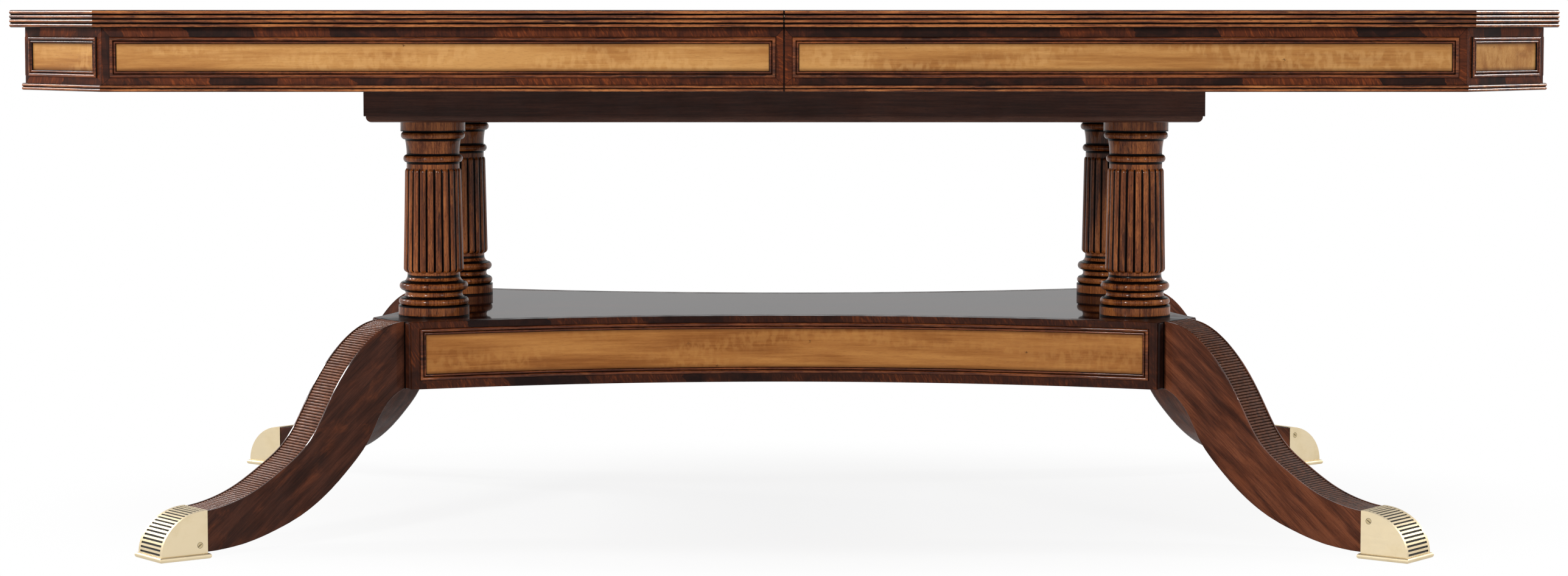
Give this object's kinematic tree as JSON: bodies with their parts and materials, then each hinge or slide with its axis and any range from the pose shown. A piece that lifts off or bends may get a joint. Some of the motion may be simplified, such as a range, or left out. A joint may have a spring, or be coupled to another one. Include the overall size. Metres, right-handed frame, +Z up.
{
  "type": "extending dining table",
  "caption": "Extending dining table with sliding half tops, panelled apron, reeded columns, hollow-sided platform and sabre legs ending in brass toes.",
  "frame": {"origin": "on the floor under the middle of the closed top", "axes": "+X along the table, +Z up, -Y towards the front"},
  "size_m": [2.159, 1.2, 0.762],
  "materials": {
    "mahogany": "polished dark mahogany",
    "crossbanding": "polished crossbanded veneer",
    "satinwood": "polished satinwood veneer",
    "reeded_mahogany": "polished reeded mahogany with dark grooves",
    "ebonised_wood": "dark brown polished wood",
    "beech": "waxed beech",
    "brass": "satin brass",
    "steel": "zinc-plated steel"
  },
  "bodies": {
    "base": {"bearer_back": "ebonised_wood", "bearer_end_left": "ebonised_wood", "bearer_end_right": "ebonised_wood", "bearer_floor": "ebonised_wood", "bearer_front": "ebonised_wood", "column_back_left": "reeded_mahogany", "column_back_right": "reeded_mahogany", "column_front_left": "reeded_mahogany", "column_front_right": "reeded_mahogany", "leg_back_left": "mahogany", "leg_back_right": "mahogany", "leg_bolt_nuts": "steel", "leg_bolts": "steel", "leg_front_left": "mahogany", "leg_front_right": "mahogany", "platform_corner_posts": "crossbanding", "platform_floor": "mahogany", "platform_panel_beads": "reeded_mahogany", "platform_panels": "satinwood", "platform_rail_back": "crossbanding", "platform_rail_front": "crossbanding", "platform_rail_left": "crossbanding", "platform_rail_right": "crossbanding", "platform_top": "mahogany", "slide_guides": "beech", "tie_rod_nuts": "steel", "tie_rods": "steel", "toe_cap_back_left": "brass", "toe_cap_back_right": "brass", "toe_cap_front_left": "brass", "toe_cap_front_right": "brass", "toe_cap_screws": "brass"},
    "left_top": {"apron_back_left": "crossbanding", "apron_corners_left": "crossbanding", "apron_end_left": "crossbanding", "apron_foot_beads_left": "reeded_mahogany", "apron_front_left": "crossbanding", "apron_panel_beads_left": "reeded_mahogany", "apron_panels_left": "satinwood", "catch_plates": "brass", "runner_screws_left": "steel", "slide_runners_left": "beech", "top_board_left": "mahogany", "top_edging_left": "reeded_mahogany"},
    "right_top": {"alignment_pins": "brass", "apron_back_right": "crossbanding", "apron_corners_right": "crossbanding", "apron_end_right": "crossbanding", "apron_foot_beads_right": "reeded_mahogany", "apron_front_right": "crossbanding", "apron_panel_beads_right": "reeded_mahogany", "apron_panels_right": "satinwood", "catch_keepers": "brass", "runner_screws_right": "steel", "slide_runners_right": "beech", "top_board_right": "mahogany", "top_edging_right": "reeded_mahogany"},
    "front_catch": {"catch_lever_front": "brass"},
    "back_catch": {"catch_lever_back": "brass"}
  },
  "joints": [
    {"name": "left_top_slide", "type": "slide", "parent": "base", "child": "left_top", "axis": [-1, 0, 0], "range_m": [0, 0.46]},
    {"name": "right_top_slide", "type": "slide", "parent": "base", "child": "right_top", "axis": [1, 0, 0], "range_m": [0, 0.46]},
    {"name": "front_catch_turn", "type": "hinge", "parent": "left_top", "child": "front_catch", "pos_m": [-0.035, -0.3957, 0.7327], "axis": [0, 0, 1], "range_deg": [0, 90]},
    {"name": "back_catch_turn", "type": "hinge", "parent": "left_top", "child": "back_catch", "pos_m": [-0.035, 0.3957, 0.7327], "axis": [0, 0, -1], "range_deg": [0, 90]}
  ]
}
